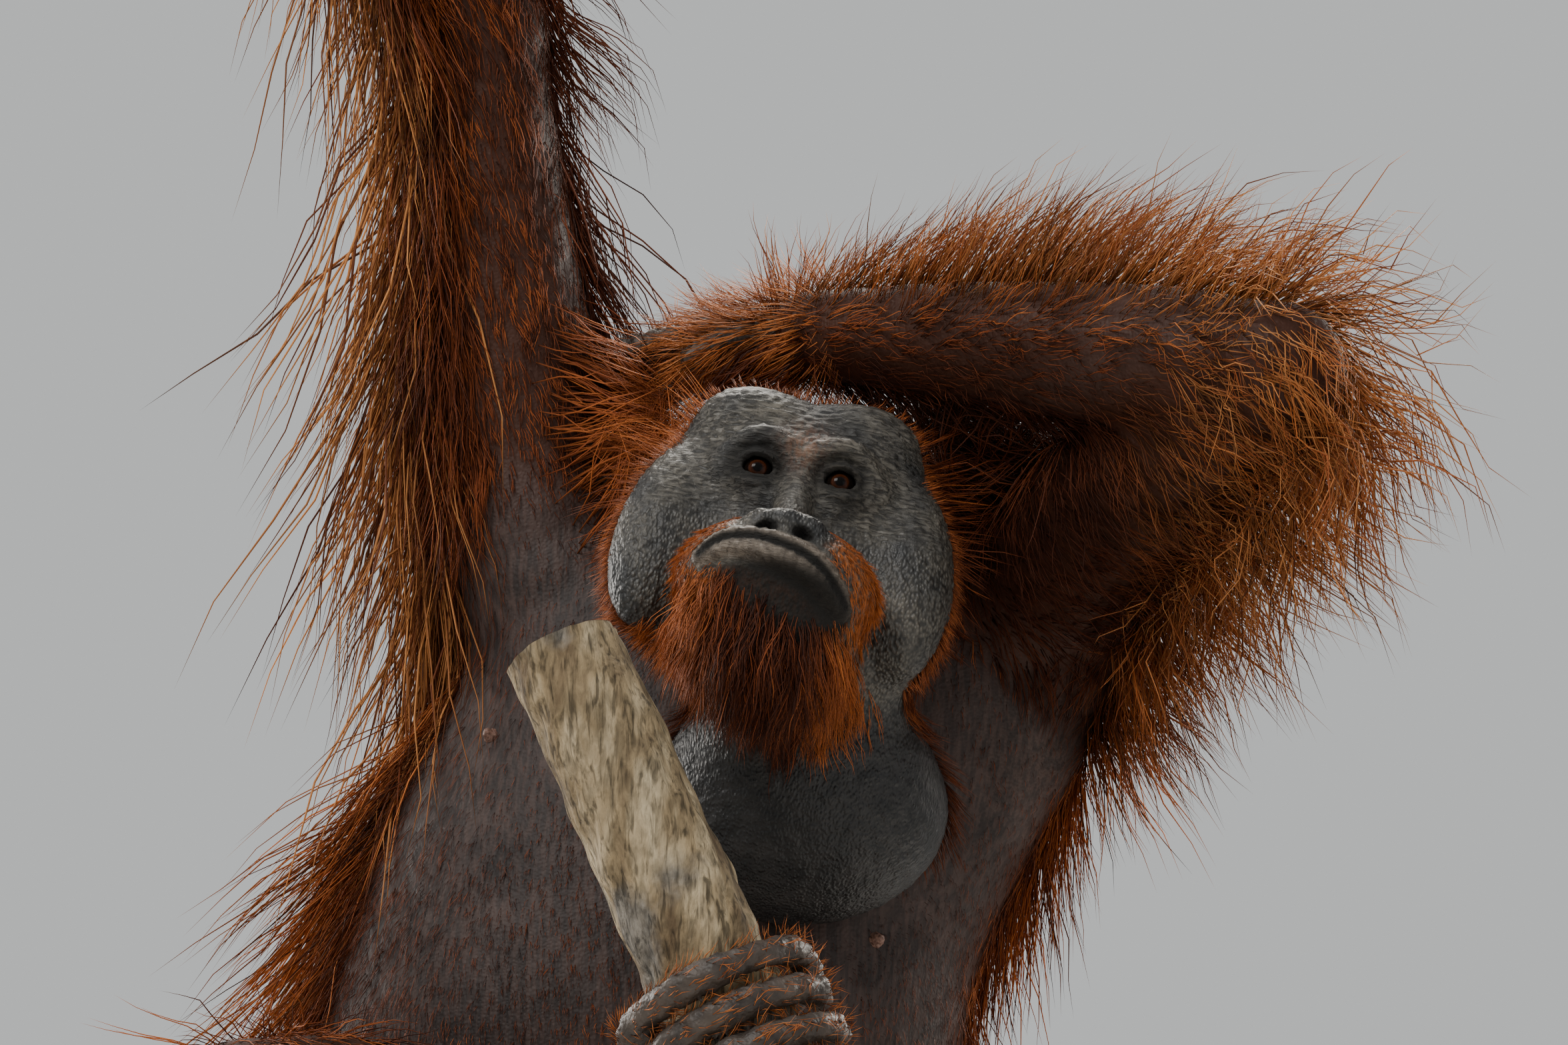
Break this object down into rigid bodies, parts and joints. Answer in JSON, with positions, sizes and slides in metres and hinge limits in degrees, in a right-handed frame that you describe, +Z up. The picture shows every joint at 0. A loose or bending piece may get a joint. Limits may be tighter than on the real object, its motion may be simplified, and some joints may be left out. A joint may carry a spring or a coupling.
{
  "type": "orangutan model",
  "caption": "Life-size still model of a flanged male orangutan that hangs by one hand and grips a branch with both feet, on a plain display stand.",
  "frame": {"origin": "centre of the stand base's underside", "axes": "+Z up, the animal's chest faces -Y and its right side is at -X"},
  "size_m": [0.9989, 0.84, 2.2327],
  "materials": {
    "coat": "long shaggy red-brown hair",
    "bare_skin": "slate-grey pebbled skin, fine hair on the throat",
    "hand_skin": "grey-brown creased skin of hands and feet",
    "eye": "wet red-brown iris, dark rim",
    "branch": "pale peeled bark with grey patches",
    "stand": "satin dark grey paint"
  },
  "bodies": {
    "root": {"eye_r": "eye", "eye_l": "eye", "head": "bare_skin", "perch_lower": "branch", "perch_upper": "branch", "torso": "coat", "throat_sac": "bare_skin", "neck": "coat", "ear_r": "bare_skin", "ear_l": "bare_skin", "upper_arm_r": "coat", "upper_arm_l": "coat", "forearm_r": "coat", "forearm_l": "coat", "thigh_r": "coat", "thigh_l": "coat", "shin_r": "coat", "shin_l": "coat", "hand_r": "hand_skin", "hand_l": "hand_skin", "foot_r": "hand_skin", "foot_l": "hand_skin", "stand_base": "stand", "stand_rod_body": "stand", "stand_rod_perch": "stand"}
  },
  "joints": []
}
